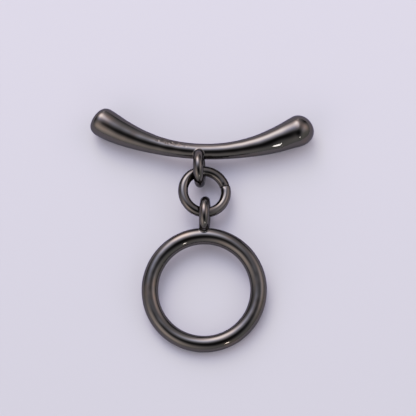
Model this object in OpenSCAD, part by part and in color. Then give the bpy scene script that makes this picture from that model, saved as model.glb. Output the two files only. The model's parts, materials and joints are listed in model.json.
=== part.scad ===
// Toggle clasp, lying on a surface: a bent bar and a round ring, linked by a jump ring.
// Millimetres, +Z up. The clasp rests on Z = 0 with its bar towards +Y.

/* [Toggle ring] */
// Outer diameter of the round ring
ring_od = 15; // [12:0.5:24]
// Thickness of its round wire
ring_wire = 2; // [1.4:0.1:2.6]

/* [Eyes] */
// Outer diameter of each eye
eye_od = 4.6; // [4.2:0.1:6]
// Thickness of the eyes' round wire
eye_wire = 1.22; // [0.9:0.02:1.4]
// How deep the ring's eye is let into the ring's wire
ring_eye_sunk = 0.8; // [0.3:0.05:1.1]
// How deep the bar's eye is let into the bar's middle
bar_eye_sunk = 1.05; // [0.5:0.05:1.3]
// How far the ring's eye stands askew on its solder joint, in degrees
ring_eye_turn = 2.2; // [-5:0.1:5]
// How far the bar's eye stands askew, seen from above, in degrees
bar_eye_turn = 1; // [-5:0.1:5]
// How far the bar's eye leans to its left, in degrees
bar_eye_lean = 2.5; // [-5:0.1:5]

/* [Jump ring] */
// Outer diameter of the jump ring
jump_od = 6.4; // [6:0.05:8]
// Thickness of its round wire
jump_wire = 1.2; // [0.8:0.05:1.25]
// Width of the slit where its two ends meet
jump_slit = 0.06; // [0.02:0.02:0.2]
// Where the slit is, in degrees from +X
jump_slit_at = 17; // [0:1:60]
// Where the bar's eye hangs on it, in degrees from +X
jump_bar_at = 103.5; // [80:0.5:115]
// Where the ring's eye hangs on it, in degrees from +X
jump_ring_at = 271.5; // [260:0.5:285]
// How far its right side hangs down, in degrees
jump_roll = 12; // [0:1:20]
// How far its bar side hangs down, in degrees
jump_pitch = 4.5; // [0:0.5:5]
// Clearance between its wire and the inside of each eye
link_gap = 0.12; // [0.1:0.01:0.25]

/* [Toggle bar] */
// Radius of the bar's bend, to the middle of the bar
bar_bend_r = 23.5; // [20:0.5:40]
// Length of the left arm along its bend, from the middle to the tip
left_arm = 13.65; // [11:0.05:18]
// Length of the right arm
right_arm = 14.1; // [11:0.05:18]
// Thickness of the bar at its middle
waist_d = 1.9; // [1.5:0.05:2.6]
// Thickness of the left bulb
left_bulb_d = 3.6; // [2.8:0.1:4.4]
// Thickness of the right bulb
right_bulb_d = 3.7; // [2.8:0.1:4.4]
// Length of the left bulb's rounded tip
left_tip = 1.54; // [1:0.02:2.4]
// Length of the right bulb's rounded tip
right_tip = 1.7; // [1:0.02:2.4]
// How far the bar is turned on the surface, in degrees
bar_turn = 3.1; // [-5:0.1:8]

/* [Hidden] */
gunmetal = [0.27, 0.25, 0.26];
$fn = 64;

// Power of the arms' curve: the higher, the later an arm swells
swell_late = 2.4;
// Power of the arms' curve: the higher, the sooner an arm has its bulb's thickness
swell_soft = 1.5;
// Number of sections along an arm
arm_steps = 12;
// Number of sections along a rounded tip
tip_steps = 6;
// Number of sides of the bar's round sections
bar_sides = 28;

// Turn a point about one axis
function turn_x(p, a) = [p.x, p.y * cos(a) - p.z * sin(a), p.y * sin(a) + p.z * cos(a)];
function turn_y(p, a) = [p.x * cos(a) + p.z * sin(a), p.y, p.z * cos(a) - p.x * sin(a)];
function turn_z(p, a) = [p.x * cos(a) - p.y * sin(a), p.x * sin(a) + p.y * cos(a), p.z];

// Radii of the wires and of the lines that they follow
ring_r = (ring_od - ring_wire) / 2;
eye_r = (eye_od - eye_wire) / 2;
jump_r = (jump_od - jump_wire) / 2;

// From the middle of the wire, or of the bar, to the middle of its eye
ring_eye_reach = ring_wire / 2 + eye_od / 2 - ring_eye_sunk;
bar_eye_reach = waist_d / 2 + eye_od / 2 - bar_eye_sunk;

// The ring lies on its far rim and on the underside of its eye
ring_tilt = asin((eye_od - ring_wire) / 2 / (2 * ring_r + ring_eye_reach));
ring_middle = [0, 0, ring_r * sin(ring_tilt) + ring_wire / 2];
ring_solder = ring_middle + turn_x([0, ring_r, 0], ring_tilt);
ring_eye_middle = ring_solder + turn_z(turn_x([0, ring_eye_reach, 0], ring_tilt), -ring_eye_turn);

// The jump ring is drawn tight in both eyes, its wire near the eyes' noses
function jump_point(at) = turn_x(turn_y(jump_r * [cos(at), sin(at), 0], jump_roll), -jump_pitch);
to_ring_eye = jump_point(jump_ring_at);
to_bar_eye = jump_point(jump_bar_at);
play = eye_od / 2 - eye_wire - jump_wire / 2 - link_gap;
play_up = (to_ring_eye.z - to_bar_eye.z) / 2;
play_along = sqrt(play * play - play_up * play_up);
jump_middle = ring_eye_middle + turn_z([0, play_along, play_up], -ring_eye_turn) - to_ring_eye;
bar_eye_middle = jump_middle + to_bar_eye + turn_z([0, play_along, play_up], bar_eye_turn);

// Lengths along the bend from the bar's middle to the middle of each bulb
left_bulb_at = left_arm - left_tip;
right_bulb_at = right_arm - right_tip;

// A length along the bend from the bar's middle, as an angle and as a point
function bend_angle(s) = s / bar_bend_r * 180 / PI;
function bend_point(s) = bar_bend_r * [sin(bend_angle(s)), 1 - cos(bend_angle(s)), 0];

// The bar lies on its two bulbs and on the underside of its eye
left_bulb = bend_point(-left_bulb_at);
right_bulb = bend_point(right_bulb_at);
bulb_rise = (left_bulb.y + right_bulb.y) / 2;
bar_tilt = asin((eye_od - (left_bulb_d + right_bulb_d) / 2) / 2 / (bar_eye_reach + bulb_rise));
bar_roll = asin((right_bulb_d - left_bulb_d) / 2 / (right_bulb.x - left_bulb.x));
bar_middle = bar_eye_middle + turn_z(turn_x([0, bar_eye_reach, 0], -bar_tilt), bar_eye_turn);
function lay_bar(p) = bar_middle + turn_z(turn_x(turn_y(p, -bar_roll), -bar_tilt), -bar_turn);

// Thickness of an arm at a share of the way from the middle to its bulb
function swell(t, bulb_d) = waist_d + (bulb_d - waist_d) * (1 - pow(1 - pow(t, swell_late), swell_soft));

// Sections of one arm as [length along the bend, radius], from its middle to near its tip
function arm_sections(bulb_at, bulb_d, tip) = concat(
    [for (i = [1:arm_steps]) [bulb_at * i / arm_steps, swell(i / arm_steps, bulb_d) / 2]],
    [for (i = [1:tip_steps - 1]) let (a = 90 * i / tip_steps)
        [bulb_at + tip * sin(a), bulb_d / 2 * cos(a)]]);

left_sections = arm_sections(left_bulb_at, left_bulb_d, left_tip);
right_sections = arm_sections(right_bulb_at, right_bulb_d, right_tip);
sections = concat(
    [for (i = [len(left_sections) - 1:-1:0]) [-left_sections[i][0], left_sections[i][1]]],
    [[0, waist_d / 2]],
    right_sections);

// One ring of points round the bend at each section, and one point at each tip
function section_points(s, r) = let (a = bend_angle(s))
    [for (k = [0:bar_sides - 1]) let (b = 360 * k / bar_sides)
        bend_point(s) + r * [-sin(a) * cos(b), cos(a) * cos(b), sin(b)]];
bar_points = [for (p = concat(
    [bend_point(-left_arm)],
    [for (q = sections) each section_points(q[0], q[1])],
    [bend_point(right_arm)])) lay_bar(p)];

last_ring = 1 + (len(sections) - 1) * bar_sides;
last_point = len(bar_points) - 1;
bar_faces = concat(
    [for (k = [0:bar_sides - 1]) [0, 1 + k, 1 + (k + 1) % bar_sides]],
    [for (i = [0:len(sections) - 2]) for (k = [0:bar_sides - 1])
        let (a = 1 + i * bar_sides + k, b = 1 + i * bar_sides + (k + 1) % bar_sides)
        each [[a, b + bar_sides, b], [a, a + bar_sides, b + bar_sides]]],
    [for (k = [0:bar_sides - 1]) [last_point, last_ring + (k + 1) % bar_sides, last_ring + k]]);

// The origin is under the middle of the whole clasp
bar_x = [for (p = bar_points) p.x];
bar_y = [for (p = bar_points) p.y];
left_side = min(min(bar_x), -ring_od / 2);
right_side = max(max(bar_x), ring_od / 2);
near_side = -ring_r * cos(ring_tilt) - ring_wire / 2;
to_origin = -[(left_side + right_side) / 2, (near_side + max(bar_y)) / 2, 0];

// A ring of round wire, flat in XY
module wire_ring(middle_r, wire_d) {
    rotate_extrude()
        translate([middle_r, 0])
            circle(d = wire_d);
}

// An eye standing upright, its opening along X
module eye() {
    rotate([0, 90, 0])
        wire_ring(eye_r, eye_wire);
}

module toggle_bar() {
    color(gunmetal)
        translate(to_origin)
            union() {
                polyhedron(bar_points, bar_faces, convexity = 4);
                translate(bar_eye_middle)
                    rotate([0, -bar_eye_lean, bar_eye_turn])
                        eye();
            }
}

module jump_ring() {
    color(gunmetal)
        translate(to_origin + jump_middle)
            rotate([-jump_pitch, 0, 0])
                rotate([0, jump_roll, 0])
                    difference() {
                        wire_ring(jump_r, jump_wire);
                        rotate([0, 0, jump_slit_at])
                            translate([jump_r, 0, 0])
                                cube([2 * jump_wire, jump_slit, 2 * jump_wire], center = true);
                    }
}

module toggle_ring() {
    color(gunmetal)
        translate(to_origin)
            union() {
                translate(ring_middle)
                    rotate([ring_tilt, 0, 0])
                        wire_ring(ring_r, ring_wire);
                translate(ring_eye_middle)
                    rotate([0, 0, -ring_eye_turn])
                        eye();
            }
}

toggle_bar();
jump_ring();
toggle_ring();
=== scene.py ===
import json
import math

import bpy
import numpy as np
from mathutils import Matrix, Vector


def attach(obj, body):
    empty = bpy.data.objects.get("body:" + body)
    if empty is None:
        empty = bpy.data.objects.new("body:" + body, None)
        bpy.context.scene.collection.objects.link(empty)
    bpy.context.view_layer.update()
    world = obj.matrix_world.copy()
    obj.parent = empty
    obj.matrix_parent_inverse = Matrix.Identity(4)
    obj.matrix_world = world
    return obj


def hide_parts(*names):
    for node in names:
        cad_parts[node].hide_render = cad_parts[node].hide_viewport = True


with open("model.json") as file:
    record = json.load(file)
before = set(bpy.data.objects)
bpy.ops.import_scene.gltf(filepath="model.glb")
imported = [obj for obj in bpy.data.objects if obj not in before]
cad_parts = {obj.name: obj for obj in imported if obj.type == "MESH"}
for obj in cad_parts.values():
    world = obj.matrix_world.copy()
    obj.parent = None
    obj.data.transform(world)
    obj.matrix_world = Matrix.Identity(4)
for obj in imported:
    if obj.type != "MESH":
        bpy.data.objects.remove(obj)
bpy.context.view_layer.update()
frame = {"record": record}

MM = 0.001

# Sizes of the pieces, in millimetres, as their solids have them
RING_OD = 15.0
RING_WIRE = 2.0
EYE_OD = 4.6
EYE_WIRE = 1.22
RING_EYE_SUNK = 0.8
RING_EYE_TURN = 2.2
BAR_EYE_SUNK = 1.05
BAR_EYE_TURN = 1.0
BAR_EYE_LEAN = 2.5
JUMP_OD = 6.4
JUMP_WIRE = 1.2
JUMP_SLIT = 0.06
JUMP_SLIT_AT = 17.0
JUMP_ROLL = 12.0
JUMP_PITCH = 4.5
BEND_R = 23.5
WAIST_D = 1.9
BULB_D = {"left": 3.6, "right": 3.7}
ARM = {"left": 13.65, "right": 14.1}
TIP = {"left": 1.54, "right": 1.7}
BAR_TURN = 3.1
SWELL_LATE = 2.4
SWELL_SOFT = 1.5

# Finish of the surfaces that the solids leave plain, in millimetres
TIP_LONGER = {"left": -0.06, "right": 0.07}
TIP_BLUNT = {"left": 2.75, "right": 2.15}
SOLDER = 0.2
END_ROUNDING = 0.06
END_STEP = 0.05
END_STEP_REACH = 1.2
SKIN = 0.08
SETTLE_STEPS = 8


def turned(axis, degrees):
    """Turn about one axis, whose columns are the turned axes."""
    return np.array(Matrix.Rotation(math.radians(degrees), 3, axis))


def mount(name):
    """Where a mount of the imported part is, in millimetres."""
    found = [m for m in frame["record"]["mounts"] if m["name"] == name]
    return np.array(found[0]["pos_m"]) / MM


# The ring lies on its far rim and on the underside of its eye, the bar on both bulbs and its eye
RING_R = (RING_OD - RING_WIRE) / 2
EYE_R = (EYE_OD - EYE_WIRE) / 2
JUMP_R = (JUMP_OD - JUMP_WIRE) / 2
RING_REACH = (RING_WIRE + EYE_OD) / 2 - RING_EYE_SUNK
BAR_REACH = (WAIST_D + EYE_OD) / 2 - BAR_EYE_SUNK
UPRIGHT = turned("Y", 90)

ring_rest = math.asin((EYE_OD - RING_WIRE) / 2 / (2 * RING_R + RING_REACH))
ring_axes = turned("X", math.degrees(ring_rest))
ring_eye_axes = turned("Z", -RING_EYE_TURN) @ UPRIGHT
ring_eye_middle = mount("ring_eye")
ring_middle = (
    ring_eye_middle
    - turned("Z", -RING_EYE_TURN) @ ring_axes @ (0, RING_REACH, 0)
    - ring_axes @ (0, RING_R, 0)
)

bulb_at = {side: ARM[side] - TIP[side] for side in ARM}
bulb_x = {side: BEND_R * math.sin(bulb_at[side] / BEND_R) for side in ARM}
bulb_rise = sum(BEND_R * (1 - math.cos(bulb_at[side] / BEND_R)) for side in ARM) / 2
bar_rest = math.asin((EYE_OD - sum(BULB_D.values()) / 2) / 2 / (BAR_REACH + bulb_rise))
bar_roll = math.asin((BULB_D["right"] - BULB_D["left"]) / 2 / sum(bulb_x.values()))
bar_tilted = turned("X", -math.degrees(bar_rest))
bar_eye_middle = mount("bar_eye")
bar_eye_axes = turned("Z", BAR_EYE_TURN) @ turned("Y", -BAR_EYE_LEAN) @ UPRIGHT
bar_middle = bar_eye_middle + turned("Z", BAR_EYE_TURN) @ bar_tilted @ (0, BAR_REACH, 0)
bar_axes = turned("Z", -BAR_TURN) @ bar_tilted @ turned("Y", -math.degrees(bar_roll))

jump_middle = mount("link")
jump_axes = turned("X", -JUMP_PITCH) @ turned("Y", JUMP_ROLL)


# Hand finish: the waves that polishing leaves, and a patch of pits on the bar

def waves(points, seed, height):
    """Low waves of a hand-polished surface, in millimetres."""
    chance = np.random.default_rng(seed)
    total = np.zeros(len(points))
    for _ in range(12):
        way = chance.normal(size=3)
        way *= 2 * math.pi / chance.uniform(0.9, 3.5) / np.linalg.norm(way)
        total += np.sin(points @ way + chance.uniform(0, 2 * math.pi))
    return total * height / 3


def on_bar(along, around, out=0.0):
    """Point of the bar's skin: along its bend, and around it in degrees from its hollow side over its top."""
    bend = along / BEND_R
    middle = BEND_R * np.array([math.sin(bend), 1 - math.cos(bend), 0])
    hollow_side = np.array([-math.sin(bend), math.cos(bend), 0])
    turn = math.radians(around)
    outward = hollow_side * math.cos(turn) + np.array([0, 0, math.sin(turn)])
    radius = float(bar_radius(np.array([along]))[0]) + out
    return bar_middle + bar_axes @ (middle + radius * outward)


def pitted(points):
    """How deep the pits of the bar's patch are at each point."""
    chance = np.random.default_rng(5)
    depth = np.zeros(len(points))
    for _ in range(110):
        middle = on_bar(chance.uniform(-5.3, -1.4), chance.uniform(48, 82))
        wide = chance.uniform(0.06, 0.12)
        near = ((points - middle) ** 2).sum(1) / wide ** 2
        depth += 0.11 * wide * np.exp(-near)
    return depth


# Places on the right bulb that polishing has ground lower, and one that it left proud: where each is,
# which way it runs, and its half length, half width and depth
GROUND = [
    ((9.46, 10.14, 3.21), (0.97, 0.25, 0.03), 1.2, 0.6, 0.09),
    ((10.25, 10.27, 3.16), (0.97, 0.25, 0.03), 1.15, 2.2, 0.08),
    ((11.85, 10.95, 3.20), (0.97, 0.25, 0.03), 0.6, 2.1, -0.09),
]


def ground(points):
    """How deep the viewer's side of the right bulb is ground away at each point."""
    depth = np.zeros(len(points))
    for spot, way, long, wide, deep in GROUND:
        off = points - spot
        lengthwise = off @ way
        sidewise = (off ** 2).sum(1) - lengthwise ** 2
        depth += deep * np.exp(-(lengthwise / long) ** 2 - sidewise / wide ** 2)
    return depth


# Nicks in the plating: where each is, which way it runs, and its half length, half width and depth
BAR_NICKS = [((9.66, 9.99, 3.01), (-0.21, -0.61, -0.76), 0.45, 0.08, 0.05)]
LINK_NICKS = [((2.66, 5.22, 2.27), (-0.28, 0.96, 0.07), 0.30, 0.16, 0.08)]
RING_NICKS = [((-4.62, -4.43, 2.45), (0.58, 0.81, 0.0), 0.08, 0.07, 0.04)]


# Distances of points to the round forms, below zero inside them

def wire_ring(points, middle, axes, ring_r, wire_r):
    x, y, z = ((points - middle) @ axes).T
    return np.hypot(np.hypot(x, y) - ring_r, z) - wire_r


def bar_radius(along):
    """Radius of the bar's round section, at lengths along its bend from its middle."""
    side = np.where(along < 0, 0, 1)
    at = np.array([bulb_at["left"], bulb_at["right"]])[side]
    bulb = np.array([BULB_D["left"], BULB_D["right"]])[side] / 2
    share = np.clip(np.abs(along) / at, 0, 1)
    return WAIST_D / 2 + (bulb - WAIST_D / 2) * (1 - (1 - share ** SWELL_LATE) ** SWELL_SOFT)


def bent_bar(points):
    x, y, z = ((points - bar_middle) @ bar_axes).T
    along = np.arctan2(x, BEND_R - y) * BEND_R
    off = np.hypot(np.hypot(x, BEND_R - y) - BEND_R, z)
    side = np.where(along < 0, 0, 1)
    at = np.array([bulb_at["left"], bulb_at["right"]])[side]
    tip = np.array([TIP["left"] + TIP_LONGER["left"], TIP["right"] + TIP_LONGER["right"]])[side]
    blunt = np.array([TIP_BLUNT["left"], TIP_BLUNT["right"]])[side]
    bulb = np.array([BULB_D["left"], BULB_D["right"]])[side] / 2
    past = np.maximum(np.abs(along) - at, 0)
    rounded = (off ** blunt + (past * bulb / tip) ** blunt) ** (1 / blunt) - bulb
    return np.where(past > 0, rounded, off - bar_radius(along))


def soldered(a, b):
    """One form for two, with a small fillet of solder where they meet."""
    near = np.maximum(SOLDER - np.abs(a - b), 0) / SOLDER
    return np.minimum(a, b) - near * near * SOLDER / 4


def ring_with_eye(points):
    ring = wire_ring(points, ring_middle, ring_axes, RING_R, RING_WIRE / 2)
    eye = wire_ring(points, ring_eye_middle, ring_eye_axes, EYE_R, EYE_WIRE / 2)
    return soldered(ring, eye) + waves(points, 3, 0.003)


def bar_with_eye(points):
    eye = wire_ring(points, bar_eye_middle, bar_eye_axes, EYE_R, EYE_WIRE / 2)
    return soldered(bent_bar(points), eye) + waves(points, 4, 0.005) + pitted(points) + ground(points)


def slope(form, points):
    """Gradient of a form at each point, by small steps along the axes."""
    step = 0.001
    return np.stack([
        (form(points + step * axis) - form(points - step * axis)) / (2 * step) for axis in np.eye(3)
    ], axis=1)


# Meshes

def sweep(middles, across, up, radii, closed):
    """Points and faces of a round skin along a line: across and up span each of its sections."""
    sides = 48
    turn = np.arange(sides) * 2 * math.pi / sides
    circle = np.cos(turn)[:, None] * across[:, None, :] + np.sin(turn)[:, None] * up[:, None, :]
    points = (middles[:, None, :] + radii[:, None, None] * circle).reshape(-1, 3)
    count = len(middles)
    faces = [
        (i * sides + k, i * sides + (k + 1) % sides,
         (i + 1) % count * sides + (k + 1) % sides, (i + 1) % count * sides + k)
        for i in range(count if closed else count - 1) for k in range(sides)
    ]
    if not closed:
        faces.append(tuple(range(sides))[::-1])
        faces.append(tuple((count - 1) * sides + k for k in range(sides)))
    return points, faces


def hoop(middle, axes, ring_r, wire_r):
    turn = np.arange(160) * 2 * math.pi / 160
    across = np.stack([np.cos(turn), np.sin(turn), 0 * turn], axis=1) @ axes.T
    up = np.tile(axes[:, 2], (len(turn), 1))
    return sweep(middle + ring_r * across, across, up, np.full(len(turn), wire_r), True)


def bar_sweep():
    """The bar's skin, a little short at its rounded tips."""
    along = np.linspace(-ARM["left"], ARM["right"], 161)[1:-1]
    bend = along / BEND_R
    across = np.stack([-np.sin(bend), np.cos(bend), 0 * bend], axis=1) @ bar_axes.T
    line = BEND_R * np.stack([np.sin(bend), 1 - np.cos(bend), 0 * bend], axis=1)
    up = np.tile(bar_axes[:, 2], (len(along), 1))
    room = np.where(along < 0, along + ARM["left"], ARM["right"] - along)
    radii = np.minimum(bar_radius(along), np.sqrt(3 * room))
    return sweep(bar_middle + line @ bar_axes.T, across, up, radii, False)


def mesh_of(name, skins):
    """A mesh object from (points, faces) pairs, in millimetres."""
    points = []
    faces = []
    for skin_points, skin_faces in skins:
        start = len(points)
        points += [tuple(p) for p in skin_points]
        faces += [tuple(start + k for k in face) for face in skin_faces]
    mesh = bpy.data.meshes.new(name)
    mesh.from_pydata(points, [], faces)
    mesh.update()
    piece = bpy.data.objects.new(name, mesh)
    bpy.context.scene.collection.objects.link(piece)
    return piece


def applied(piece):
    """The piece with its modifiers made part of its mesh."""
    seen = piece.evaluated_get(bpy.context.evaluated_depsgraph_get())
    mesh = bpy.data.meshes.new_from_object(seen)
    piece.modifiers.clear()
    piece.data = mesh
    return mesh


def fused(name, skins, form):
    """One closed skin over several forms, laid exactly on their surface."""
    piece = mesh_of(name, skins)
    remesh = piece.modifiers.new("skin", "REMESH")
    remesh.mode = "VOXEL"
    remesh.voxel_size = SKIN
    mesh = applied(piece)
    points = np.empty(len(mesh.vertices) * 3)
    mesh.vertices.foreach_get("co", points)
    points = points.reshape(-1, 3)
    for _ in range(SETTLE_STEPS):
        g = slope(form, points)
        steps = form(points) / np.maximum((g * g).sum(1), 0.05)
        points = points - np.clip(steps, -SKIN, SKIN)[:, None] * g
    g = slope(form, points)
    normals = g / np.linalg.norm(g, axis=1)[:, None]
    mesh.vertices.foreach_set("co", (points * MM).ravel())
    mesh.polygons.foreach_set("use_smooth", [True] * len(mesh.polygons))
    mesh.update()
    mesh.normals_split_custom_set_from_vertices(normals)
    return piece


def split_ring(name):
    """The split ring of round wire: its two cut ends are rounded off and a little out of line."""
    round_off = END_ROUNDING * (1 - np.cos(np.radians([0, 20, 40, 60, 75, 90])))
    length = math.radians(360) * JUMP_R - JUMP_SLIT
    from_end = np.concatenate([round_off, np.linspace(0.13, length - 0.13, 260), length - round_off[::-1]])
    turn = math.radians(JUMP_SLIT_AT) + (from_end + JUMP_SLIT / 2) / JUMP_R
    near_end = np.minimum(from_end, length - from_end)
    cut = np.maximum(END_ROUNDING - near_end, 0)
    radii = JUMP_WIRE / 2 - END_ROUNDING + np.sqrt(END_ROUNDING ** 2 - cut ** 2)
    step = END_STEP * np.exp(-((length - from_end) / END_STEP_REACH) ** 2)
    across = np.stack([np.cos(turn), np.sin(turn), 0 * turn], axis=1) @ jump_axes.T
    up = np.tile(jump_axes[:, 2], (len(turn), 1))
    middles = jump_middle + (JUMP_R + step)[:, None] * across
    points, faces = sweep(middles, across, up, radii, False)
    outward = points - np.repeat(middles, 48, axis=0)
    outward /= np.linalg.norm(outward, axis=1)[:, None]
    points = points - waves(points, 6, 0.003)[:, None] * outward
    piece = mesh_of(name, [(points, faces)])
    piece.data.transform(Matrix.Scale(MM, 4))
    piece.data.polygons.foreach_set("use_smooth", [len(p.vertices) == 4 for p in piece.data.polygons])
    return piece


bar = fused(
    "bent_bar_with_eye", [bar_sweep(), hoop(bar_eye_middle, bar_eye_axes, EYE_R, EYE_WIRE / 2)], bar_with_eye,
)
ring = fused("round_ring_with_eye", [
    hoop(ring_middle, ring_axes, RING_R, RING_WIRE / 2),
    hoop(ring_eye_middle, ring_eye_axes, EYE_R, EYE_WIRE / 2),
], ring_with_eye)
link = split_ring("split_jump_ring")


# Shader nodes

class Nodes:
    """The nodes of one material, or of the room round the table."""

    def __init__(self, tree):
        self.tree = tree
        tree.nodes.clear()

    def add(self, kind, settings=None, inputs=None, output=0):
        """A node by its type: its settings are set first, then the values or links of its sockets."""
        node = self.tree.nodes.new(kind)
        for name, value in (settings or {}).items():
            setattr(node, name, value)
        for name, value in (inputs or {}).items():
            if isinstance(value, Value):
                self.tree.links.new(value.socket, node.inputs[name])
            else:
                node.inputs[name].default_value = value
        return Value(self, node.outputs[output]) if node.outputs else None

    def noise(self, place, scale, detail=2.0):
        """Soft noise around 0.5, with so many waves to a millimetre."""
        inputs = {"Vector": place, "Scale": scale, "Detail": detail, "Roughness": 0.5}
        return self.add("ShaderNodeTexNoise", None, inputs, "Fac")

    def mix(self, share, first, second):
        """From the first colour to the second, by a share from 0 to 1."""
        return self.add("ShaderNodeMix", {"data_type": "RGBA"}, {0: share, 6: first, 7: second}, 2)


class Value:
    """What a node puts out. Arithmetic on it adds the Math nodes."""

    def __init__(self, nodes, socket):
        self.nodes = nodes
        self.socket = socket

    def math(self, operation, other=0.0, swap=False):
        terms = (other, self) if swap else (self, other)
        return self.nodes.add("ShaderNodeMath", {"operation": operation}, dict(enumerate(terms)))

    def __add__(self, other):
        return self.math("ADD", other)

    def __sub__(self, other):
        return self.math("SUBTRACT", other)

    def __rsub__(self, other):
        return self.math("SUBTRACT", other, swap=True)

    def __mul__(self, other):
        return self.math("MULTIPLY", other)

    def __truediv__(self, other):
        return self.math("DIVIDE", other)

    def __rtruediv__(self, other):
        return self.math("DIVIDE", other, swap=True)

    def __pow__(self, other):
        return self.math("POWER", other)

    def __neg__(self):
        return self * -1

    __radd__ = __add__
    __rmul__ = __mul__

    def exp(self):
        return self.math("EXPONENT")

    def between(self, low, high):
        """0 up to the low value, 1 from the high one, and soft between them."""
        inputs = {"Value": self, "From Min": low, "From Max": high}
        return self.nodes.add("ShaderNodeMapRange", {"interpolation_type": "SMOOTHSTEP"}, inputs)

    def vector(self, operation, other, output=0):
        return self.nodes.add("ShaderNodeVectorMath", {"operation": operation}, {0: self, 1: other}, output)

    def dot(self, other):
        return self.vector("DOT_PRODUCT", other if isinstance(other, Value) else tuple(other), "Value")

    def scaled(self, amount):
        return self.nodes.add("ShaderNodeVectorMath", {"operation": "SCALE"}, {0: self, "Scale": amount})


def material(name):
    made = bpy.data.materials.new(name)
    made.use_nodes = True
    return made, Nodes(made.node_tree)


# Polished gunmetal plating

PLATING = (0.119, 0.110, 0.100, 1)
PLATING_THIN = (0.150, 0.122, 0.100, 1)
EDGE_TINT = (0.64, 0.65, 0.70, 1)
POLISH = 0.05


def along_wire(nodes, middle, axes, radius):
    """Coordinates in millimetres along the round way of a wire, outwards from its centre, and up."""
    place = nodes.add("ShaderNodeTexCoord", output="Object").scaled(1 / MM).vector("SUBTRACT", tuple(middle))
    x, y, z = (place.dot(axes[:, k]) for k in range(3))
    out = (x * x + y * y).math("SQRT")
    turn = y.math("ARCTAN2", x)
    return place, (turn * radius, out, z)


def plated(name, middle, axes, radius, nicks):
    """Gunmetal plating: clouded, finely scratched along the wire, nicked, and duller in smears."""
    made, nodes = material(name)
    place, (along, out, up) = along_wire(nodes, middle, axes, radius)
    lengthwise = nodes.add("ShaderNodeCombineXYZ", None, {0: along * 0.5, 1: out * 9, 2: up * 9})
    hairlines = nodes.noise(lengthwise, 1.0, 3.0)
    cloud = nodes.noise(place, 0.4)
    smear = nodes.noise(place, 1.1, 3.0)
    grain = nodes.noise(place, 12.0, 2.0)
    thin = cloud.between(0.5, 0.8)
    dull = smear.between(0.45, 0.85)
    roughness = POLISH + dull * 0.05 + hairlines.between(0.6, 0.8) * 0.04
    height = hairlines * 0.0010 + grain * 0.0004
    for spot, way, long, wide, deep in nicks:
        off = place.vector("SUBTRACT", tuple(np.array(spot) - middle))
        lengthwise = off.dot(np.array(way) / long)
        distance = off.dot(off)
        sidewise = (distance - lengthwise * lengthwise * long ** 2) / wide ** 2
        height = height - deep * (-(lengthwise * lengthwise + sidewise)).exp()
    bump = nodes.add("ShaderNodeBump", None, {"Strength": 1.0, "Distance": MM, "Height": height})
    shader = nodes.add("ShaderNodeBsdfPrincipled", None, {
        "Base Color": nodes.mix(thin, PLATING, PLATING_THIN),
        "Metallic": 1.0,
        "Roughness": roughness,
        "Specular Tint": EDGE_TINT,
        "Normal": bump,
    })
    nodes.add("ShaderNodeOutputMaterial", None, {"Surface": shader})
    return made


bend_middle = bar_middle + bar_axes @ (0, BEND_R, 0)
for piece, node, slot, finish in (
    (bar, "toggle_bar", "bar_metal", plated("bar_plating", bend_middle, bar_axes, BEND_R, BAR_NICKS)),
    (link, "jump_ring", "link_metal", plated("link_plating", jump_middle, jump_axes, JUMP_R, LINK_NICKS)),
    (ring, "toggle_ring", "ring_metal", plated("ring_plating", ring_middle, ring_axes, RING_R, RING_NICKS)),
):
    piece.data.materials.clear()
    piece.data.materials.append(finish)
    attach(piece, "root")
    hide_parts(node)


# Pale table, with painted shade: its colour darkens towards the viewer in place of the key light's falloff

TABLE_FAR = (0.757, 0.740, 0.805, 1)
TABLE_NEAR_PAINTED_SHADE = (0.640, 0.630, 0.686, 1)

table_sheet, nodes = material("pale_table")
place = nodes.add("ShaderNodeTexCoord", output="Object").scaled(1 / MM)
# painted shade: the table's colour is mixed darker towards the viewer, standing in for the key light's
# falloff
painted_falloff_share = place.dot((0, -1, 0)).between(-45, 45)
fibres = nodes.noise(place, 3.0, 4.0)
bump = nodes.add("ShaderNodeBump", None, {"Strength": 0.1, "Distance": MM, "Height": fibres * 0.01})
shader = nodes.add("ShaderNodeBsdfPrincipled", None, {
    "Base Color": nodes.mix(painted_falloff_share, TABLE_FAR, TABLE_NEAR_PAINTED_SHADE),
    "Roughness": 0.9,
    "Specular IOR Level": 0.1,
    "Normal": bump,
})
nodes.add("ShaderNodeOutputMaterial", None, {"Surface": shader})
bpy.ops.mesh.primitive_plane_add(size=6)
table = bpy.context.object
table.name = "table"
table.data.materials.append(table_sheet)


# Soft lights and dark places round the table, in degrees from +X and from the zenith

SOFTBOX = {"azimuth": 110, "zenith": 48.5, "wide": 12.8, "tall": 14.5, "colour": (5.95, 5.25, 5.45)}
WINDOW = {"azimuth": 293, "zenith": 61, "wide": 2.1, "tall": 3.2, "lean": 7, "colour": (12, 12, 12.5)}
BOUNCES = [
    {"azimuth": 91, "zenith": 83, "wide": 5, "tall": 9, "colour": (0.95, 0.85, 0.95)},
    {"azimuth": 0, "zenith": 44, "wide": 20, "tall": 14, "colour": (0.5, 0.5, 0.6)},
    {"azimuth": 21, "zenith": 58, "wide": 25, "tall": 20, "colour": (0.9, 0.72, 0.7)},
    {"azimuth": 222, "zenith": 59, "wide": 36, "tall": 28, "colour": (1.3, 1.13, 1.05)},
    {"azimuth": 329, "zenith": 70, "wide": 54, "tall": 32, "colour": (0.25, 0.23, 0.16)},
    {"azimuth": 90, "zenith": 30, "wide": 10, "tall": 16, "colour": (1.0, 1.2, 1.7)},
    {"azimuth": 138, "zenith": 37, "wide": 15, "tall": 19, "colour": (0.55, 0.75, 1.3)},
]
CAMERA_SHADES = [
    {"azimuth": 259, "zenith": 16, "wide": 22, "tall": 13, "dark": 0.40},
    {"azimuth": 284, "zenith": 26, "wide": 28, "tall": 26, "dark": 0.91},
    {"azimuth": 225, "zenith": 20, "wide": 12, "tall": 10, "dark": 0.40},
    {"azimuth": 305, "zenith": 9, "wide": 11, "tall": 8, "dark": 0.30},
]
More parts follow.
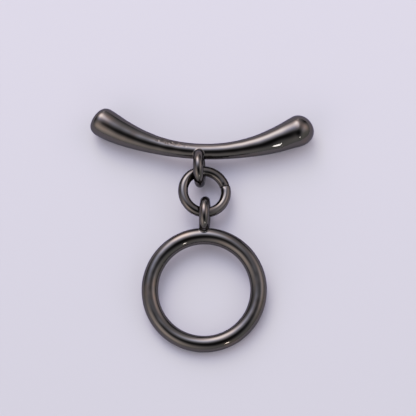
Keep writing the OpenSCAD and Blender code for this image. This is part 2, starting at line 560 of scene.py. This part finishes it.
DARK_CORNERS = [
    {"azimuth": 55, "zenith": 84, "wide": 12, "tall": 20, "dark": 0.84},
    {"azimuth": 156, "zenith": 78, "wide": 18, "tall": 32, "dark": 0.62},
]
DIM_ROOM = (0.20, 0.24, 0.32)


def direction(azimuth, zenith):
    """Unit vector towards a place in the room."""
    a, z = math.radians(azimuth), math.radians(zenith)
    return np.array([math.sin(z) * math.cos(a), math.sin(z) * math.sin(a), math.cos(z)])


def away(look, spot):
    """How far a look is from a spot: 0 at its middle, 1 at its half widths, and very far behind it."""
    middle = direction(spot["azimuth"], spot["zenith"])
    level = direction(spot["azimuth"] + 90, 90)
    lean = math.radians(spot.get("lean", 0))
    side = math.cos(lean) * level - math.sin(lean) * np.cross(middle, level)
    x = look.dot(side / math.sin(math.radians(spot["wide"])))
    y = look.dot(np.cross(middle, side) / math.sin(math.radians(spot["tall"])))
    behind = look.dot(-1000 * middle).math("MAXIMUM")
    return x * x + y * y + behind


world = bpy.data.worlds.new("room")
bpy.context.scene.world = world
world.use_nodes = True
room = Nodes(world.node_tree)
look = room.add("ShaderNodeTexCoord", output="Generated")
look = room.add("ShaderNodeVectorMath", {"operation": "NORMALIZE"}, {0: look})


def shining(colour, amount):
    return room.add("ShaderNodeVectorMath", {"operation": "SCALE"}, {0: colour, "Scale": amount})


light = shining(SOFTBOX["colour"], 1 / (1 + 0.414 * away(look, SOFTBOX)) ** 2)
for bounce in BOUNCES:
    light = light.vector("ADD", shining(bounce["colour"], (-away(look, bounce)).exp()))
light = light.vector("ADD", DIM_ROOM)
for shade in CAMERA_SHADES:
    light = light.scaled(1 - shade["dark"] * (-(away(look, shade) ** 1.5)).exp())
for shade in DARK_CORNERS:
    light = light.scaled(1 - shade["dark"] * (-away(look, shade)).exp())
light = light.vector("ADD", shining(WINDOW["colour"], (-(away(look, WINDOW) ** 3)).exp()))
background = room.add("ShaderNodeBackground", None, {"Color": light, "Strength": 1.0})
room.add("ShaderNodeOutputWorld", None, {"Surface": background})


# Camera, at the photograph's angle

VIEW_DISTANCE = 420.0
VIEW_WIDTH = 50.13
VIEW_TO_RIGHT = 2.0
VIEW_TO_FRONT = 13.5
AIM_FROM_RING = (0.40, 10.434)
SENSOR = 36.0

aim = np.array([ring_middle[0] + AIM_FROM_RING[0], ring_middle[1] + AIM_FROM_RING[1], 0])
aside, ahead = math.radians(VIEW_TO_RIGHT), math.radians(VIEW_TO_FRONT)
towards = np.array([
    math.sin(aside) * math.cos(ahead), -math.sin(ahead), math.cos(aside) * math.cos(ahead),
])
up = np.array([0, 1, 0]) - towards[1] * towards
up /= np.linalg.norm(up)
right = np.cross(up, towards)
camera = bpy.data.objects.new("camera", bpy.data.cameras.new("camera"))
looking = Matrix(np.stack([right, up, towards], axis=1).tolist()).to_4x4()
camera.matrix_world = Matrix.Translation(Vector(aim + VIEW_DISTANCE * towards) * MM) @ looking
camera.data.sensor_width = SENSOR
camera.data.lens = SENSOR * VIEW_DISTANCE / VIEW_WIDTH
camera.data.clip_start = 0.01
bpy.context.scene.collection.objects.link(camera)
bpy.context.scene.camera = camera

# The tones of a camera's picture: lifted mid-tones and gentler highlights

TONES = [
    (0.05, 0.05), (0.10, 0.104), (0.18, 0.205), (0.30, 0.365),
    (0.42, 0.50), (0.54, 0.605), (0.65, 0.68), (0.80, 0.79),
]
BRIGHT_TONE = (1.0, 0.93)

view = bpy.context.scene.view_settings
view.view_transform = "Standard"
view.use_curve_mapping = True
view.curve_mapping.use_clip = False
view.curve_mapping.extend = "EXTRAPOLATED"
all_colours = view.curve_mapping.curves[3].points
all_colours[1].location = BRIGHT_TONE
for scene_tone, picture_tone in TONES:
    all_colours.new(scene_tone, picture_tone)
view.curve_mapping.update()
